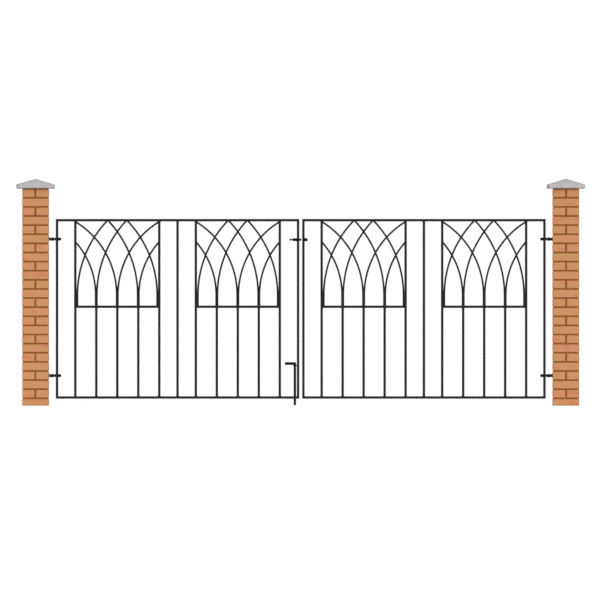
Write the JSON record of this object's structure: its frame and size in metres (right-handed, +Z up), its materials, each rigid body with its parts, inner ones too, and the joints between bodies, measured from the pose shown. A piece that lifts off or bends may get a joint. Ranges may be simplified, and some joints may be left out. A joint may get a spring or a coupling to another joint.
{
  "type": "double driveway gate",
  "caption": "Pair of black steel gate leaves with square bars and interlaced arch tracery, hinged between square brick piers with stone caps; drop bolt and sliding latch.",
  "frame": {"origin": "middle of the left pier's flat base, at ground level", "axes": "+X along the gateway towards the right pier, +Y away from the viewer into the drive, +Z up"},
  "size_m": [4.6, 0.305, 1.835],
  "materials": {
    "brick": "matte",
    "cap_stone": "matte",
    "gate_steel": "satin",
    "hinge_steel": "satin",
    "bolt_steel": "satin"
  },
  "bodies": {
    "piers": {"left_pier": "brick", "right_pier": "brick", "left_pier_cap": "cap_stone", "right_pier_cap": "cap_stone", "left_top_hinge_fork": "hinge_steel", "left_bottom_hinge_fork": "hinge_steel", "right_top_hinge_fork": "hinge_steel", "right_bottom_hinge_fork": "hinge_steel", "left_hinge_pins": "hinge_steel", "right_hinge_pins": "hinge_steel"},
    "left_leaf": {"left_top_rail": "gate_steel", "left_bottom_rail": "gate_steel", "left_hinge_stile": "gate_steel", "left_meeting_stile": "gate_steel", "left_tall_bars": "gate_steel", "left_short_bars": "gate_steel", "left_outer_mid_rail": "gate_steel", "left_inner_mid_rail": "gate_steel", "left_outer_tracery": "gate_steel", "left_inner_tracery": "gate_steel", "left_top_hinge_eye": "hinge_steel", "left_bottom_hinge_eye": "hinge_steel", "left_hinge_nuts": "hinge_steel", "drop_bolt_guide": "bolt_steel", "latch_housing": "bolt_steel"},
    "right_leaf": {"right_top_rail": "gate_steel", "right_bottom_rail": "gate_steel", "right_hinge_stile": "gate_steel", "right_meeting_stile": "gate_steel", "right_tall_bars": "gate_steel", "right_short_bars": "gate_steel", "right_outer_mid_rail": "gate_steel", "right_inner_mid_rail": "gate_steel", "right_outer_tracery": "gate_steel", "right_inner_tracery": "gate_steel", "right_top_hinge_eye": "hinge_steel", "right_bottom_hinge_eye": "hinge_steel", "right_hinge_nuts": "hinge_steel", "latch_keep": "bolt_steel"},
    "drop_bolt": {"drop_bolt": "bolt_steel"},
    "latch_bolt": {"latch_bolt": "bolt_steel", "latch_knob": "bolt_steel"}
  },
  "joints": [
    {"name": "left_leaf_swing", "type": "hinge", "parent": "piers", "child": "left_leaf", "pos_m": [0.1375, 0, 1.348], "axis": [0, 0, 1], "range_deg": [0, 90]},
    {"name": "right_leaf_swing", "type": "hinge", "parent": "piers", "child": "right_leaf", "pos_m": [4.1575, 0, 1.348], "axis": [0, 0, -1], "range_deg": [0, 90]},
    {"name": "drop_bolt_slide", "type": "slide", "parent": "left_leaf", "child": "drop_bolt", "axis": [0, 0, 1], "range_m": [0, 0.05]},
    {"name": "latch_bolt_slide", "type": "slide", "parent": "left_leaf", "child": "latch_bolt", "axis": [1, 0, 0], "range_m": [0, 0.028]}
  ]
}
